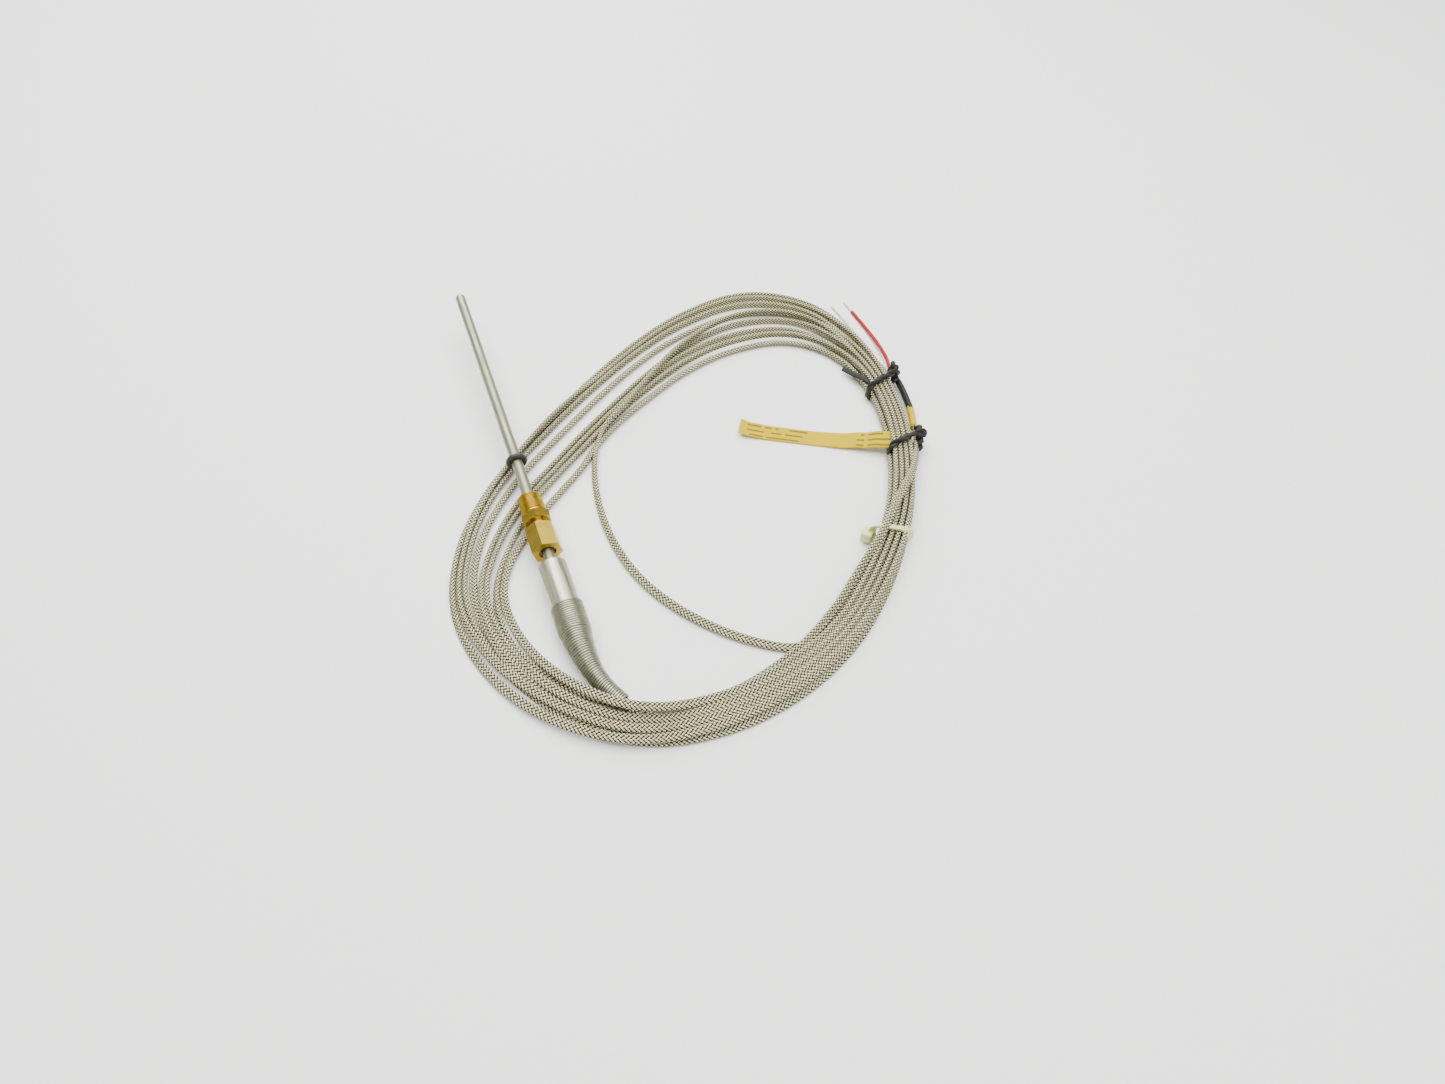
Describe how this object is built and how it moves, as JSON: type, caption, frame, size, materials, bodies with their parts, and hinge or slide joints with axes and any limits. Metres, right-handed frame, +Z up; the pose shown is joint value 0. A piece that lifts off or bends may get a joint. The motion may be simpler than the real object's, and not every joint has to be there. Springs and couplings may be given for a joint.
{
  "type": "thermocouple",
  "caption": "Sheathed thermocouple probe with a sliding brass compression gland, a spring strain relief and a coiled braided lead with stripped ends.",
  "frame": {"origin": "on the surface that the thermocouple lies on, under the middle of the probe assembly's box, from the spring's end to the probe's tip", "axes": "+Y along the probe to its tip as seen from above, +Z up, +X towards the coiled lead; the probe rises 3.3 degrees to its tip"},
  "size_m": [0.233, 0.2635, 0.0213],
  "materials": {
    "sheath_steel": "drawn stainless tube, lightly satin with fine lengthwise lines",
    "sleeve_steel": "turned stainless sleeve, satin",
    "spring_wire": "bright drawn spring wire, close wound",
    "ceramic": "fired ceramic, unglazed",
    "potting_cement": "set cement, matt",
    "conductor_metal": "bare drawn wire",
    "crimp_metal": "plated crimp barrel",
    "brass": "turned bar brass, fine machining marks",
    "packing": "white sealant sleeve, waxy",
    "ring_rubber": "moulded black rubber",
    "cable_braid": "impregnated glass braid over two cores",
    "shrink_tube": "shrunk sleeve, slightly glossy over the cores",
    "red_insulation": "smooth red lead insulation, slightly glossy",
    "white_insulation": "smooth white lead insulation, slightly translucent",
    "twist_tie": "plastic-coated tie wire, dull",
    "nylon_tie": "moulded natural nylon, milky and slightly yellow",
    "label": "printed film, satin"
  },
  "bodies": {
    "root": {"probe_sheath": "sheath_steel", "tip_cap": "sheath_steel", "transition_sleeve": "sleeve_steel", "strain_relief_spring": "spring_wire", "insulator_beads": "ceramic", "sleeve_potting": "potting_cement", "sheath_seal": "potting_cement", "thermoelement_positive": "conductor_metal", "thermoelement_negative": "conductor_metal", "splice_positive": "crimp_metal", "splice_negative": "crimp_metal", "hot_junction": "conductor_metal", "inner_lead_positive": "white_insulation", "inner_lead_negative": "red_insulation", "cable_coil": "cable_braid", "cable_tail": "cable_braid", "cable_loose_turn": "cable_braid", "cable_end": "cable_braid", "heat_shrink_sleeve": "shrink_tube", "lead_red": "red_insulation", "lead_white": "white_insulation", "conductor_red": "conductor_metal", "conductor_white": "conductor_metal", "twist_tie_upper": "twist_tie", "twist_tie_lower": "twist_tie", "cable_tie": "nylon_tie", "label_strip": "label", "label_wrap": "label"},
    "packing": {"gland_packing": "packing"},
    "gland": {"gland_body": "brass"},
    "follower": {"gland_follower": "brass"},
    "nut": {"gland_nut": "brass"},
    "ring": {"rubber_ring": "ring_rubber"}
  },
  "joints": [
    {"name": "gland_slide", "type": "slide", "parent": "root", "child": "packing", "axis": [0, 0.9983, 0.0576], "range_m": [-0.0045, 0.02]},
    {"name": "gland_turn", "type": "hinge", "parent": "packing", "child": "gland", "pos_m": [-0.0023, -0.05383, 0.009], "axis": [0, 0.9983, 0.0576], "continuous": true},
    {"name": "follower_slide", "type": "slide", "parent": "gland", "child": "follower", "axis": [0, 0.9983, 0.0576], "range_m": [-0.00142, 0.00048]},
    {"name": "nut_turn", "type": "hinge", "parent": "follower", "child": "nut", "pos_m": [-0.0023, -0.05383, 0.009], "axis": [0, 0.9983, 0.0576], "range_deg": [-540, 180]},
    {"name": "ring_slide", "type": "slide", "parent": "root", "child": "ring", "axis": [0, 0.9983, 0.0576], "range_m": [-0.0005, 0.105]}
  ],
  "couplings": [
    {"joint": "follower_slide", "follows": "nut_turn", "m_per_rad": 0.00014972}
  ]
}
